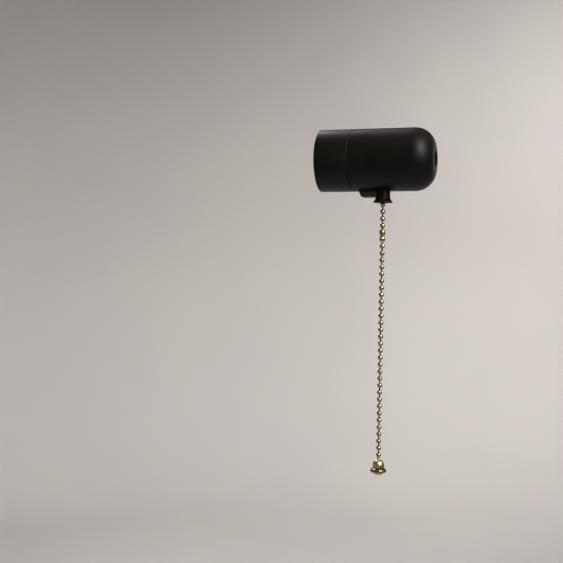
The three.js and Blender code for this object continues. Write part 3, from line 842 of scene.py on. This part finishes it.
def make_return_spring():
    """Four turns and a half round the lever's sleeve, from a leg on the web to a hook in the arm.

    On the real part it twists with the lever: the web's end stays with the housing and the hook
    goes with the arm.
    """
    per_turn, coil, thick, hook = 40, 3.6, 0.35, 4.4
    low_y, high_y = -6.0, -1.9
    start, end = -30.0, 157.5 + 4 * 360
    count = round((end - start) / 360 * per_turn)
    points = [
        (6.9, low_y - 0.2, -6.0), (6.2, low_y - 0.17, -5.2), (5.4, low_y - 0.12, -4.3),
        (4.4, low_y - 0.05, -3.1),
    ]
    for i in range(count + 1):
        angle = math.radians(start + (end - start) * i / count)
        y = low_y + (high_y - low_y) * i / count
        points.append((coil * math.cos(angle), y, coil * math.sin(angle)))
    last = math.radians(end)
    for rise in (0.1, 0.5, 1.2, 1.8, 2.3):
        points.append((hook * math.cos(last), high_y + rise, hook * math.sin(last)))
    points = [(x + AXLE.x, y, z + AXLE.z) for x, y, z in points]
    spring = wire("lever_spring", points, thick)
    stands_for(spring, "return_spring", rides=False)
    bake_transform(spring)
    return spring


# ---------------------------------------------------------------- studio

FLOOR_Z = -0.42
ROOM_RADIUS = 1.35


def make_room():
    """A round pale floor that curves up into a plain wall on every side, open at the top."""
    cove, top, segments = 0.45, 1.5, 96
    bend = arc((FLOOR_Z + cove, ROOM_RADIUS - cove), cove, 180, 90, 16)
    line = [(FLOOR_Z, 0.0), *bend, (top, ROOM_RADIUS)]
    line = [(along / MM, radius / MM) for along, radius in line]
    room = turned("room", line, "z", segments=segments, closed=False)
    nodes = Nodes("room")
    darker, lighter = (0.585, 0.555, 0.54), (0.625, 0.595, 0.575)
    plaster = nodes.ramp(nodes.noise(3, 3, 0.5), (0.3, darker), (0.7, lighter))
    nodes.set(Base_Color=plaster, Roughness=0.9)
    room.data.materials.append(nodes.material)


def area_light(name, place, target, side, power, spread=80):
    """A square light of the given side in metres and power in watts, turned to its target."""
    data = bpy.data.lights.new(name, "AREA")
    data.shape = "RECTANGLE"
    data.size = side
    data.size_y = side
    data.energy = power
    data.color = (1.0, 0.99, 0.975)
    data.spread = math.radians(spread)
    light = bpy.data.objects.new(name, data)
    light.location = place
    light.rotation_mode = "QUATERNION"
    light.rotation_quaternion = (Vector(target) - Vector(place)).to_track_quat("-Z", "Y")
    bpy.context.scene.collection.objects.link(light)


def make_world():
    """Dim surroundings, lighter above and to the right, as in a room with one bright side."""
    world = bpy.data.worlds.new("studio")
    bpy.context.scene.world = world
    world.use_nodes = True
    tree = world.node_tree
    background = tree.nodes["Background"]
    coordinates = tree.nodes.new("ShaderNodeTexCoord")
    toward = tree.nodes.new("ShaderNodeVectorMath")
    toward.operation = "DOT_PRODUCT"
    toward.inputs[1].default_value = Vector((0.75, 0.1, 0.65)).normalized()
    tree.links.new(coordinates.outputs["Generated"], toward.inputs[0])
    ramp = tree.nodes.new("ShaderNodeValToRGB")
    stops = (
        (0.0, (0.016, 0.013, 0.009)),
        (0.5, (0.08, 0.075, 0.07)),
        (1.0, (0.55, 0.54, 0.53)),
    )
    ramp.color_ramp.elements.new(0.5)
    for element, (position, colour) in zip(ramp.color_ramp.elements, stops):
        element.position = position
        element.color = (*colour, 1)
    spread = tree.nodes.new("ShaderNodeMapRange")
    spread.inputs["From Min"].default_value = -1
    tree.links.new(toward.outputs["Value"], spread.inputs["Value"])
    tree.links.new(spread.outputs["Result"], ramp.inputs["Fac"])
    tree.links.new(ramp.outputs["Color"], background.inputs["Color"])


def make_light():
    centre = (-0.03, 0, -0.09)
    wall_spot = (-0.08, ROOM_RADIUS, -0.10)
    area_light("key", (0.62, -0.42, 0.45), centre, 0.85, 4.2)
    area_light("glint", (0.50, -0.46, 0.52), centre, 0.16, 0.55)
    area_light("wall_light", (0.35, 0.70, 0.50), wall_spot, 0.3, 2.9, spread=110)
    area_light("back_light", (-0.55, 0.55, 0.75), centre, 0.5, 1.0)
    bpy.context.scene.view_settings.view_transform = "Standard"


# ---------------------------------------------------------------- build

make_camera()
finish_cad_nodes()
hanging = make_hanging_chain()
clasp = make_connector()
bell_piece = make_bell()
make_inner_chain()
make_chain_pin()
make_front_shell()
make_rear_body()
make_chain_guide()
make_screw_shell()
make_entry_bushing()
make_plunger()
for side in ("a", "b"):
    make_slotted_screw("mechanism_screw_" + side, "x")
for side in ("a", "b"):
    make_slotted_screw("terminal_screw_" + side, "z")
make_plunger_spring()
make_return_spring()
make_room()
make_world()
make_light()
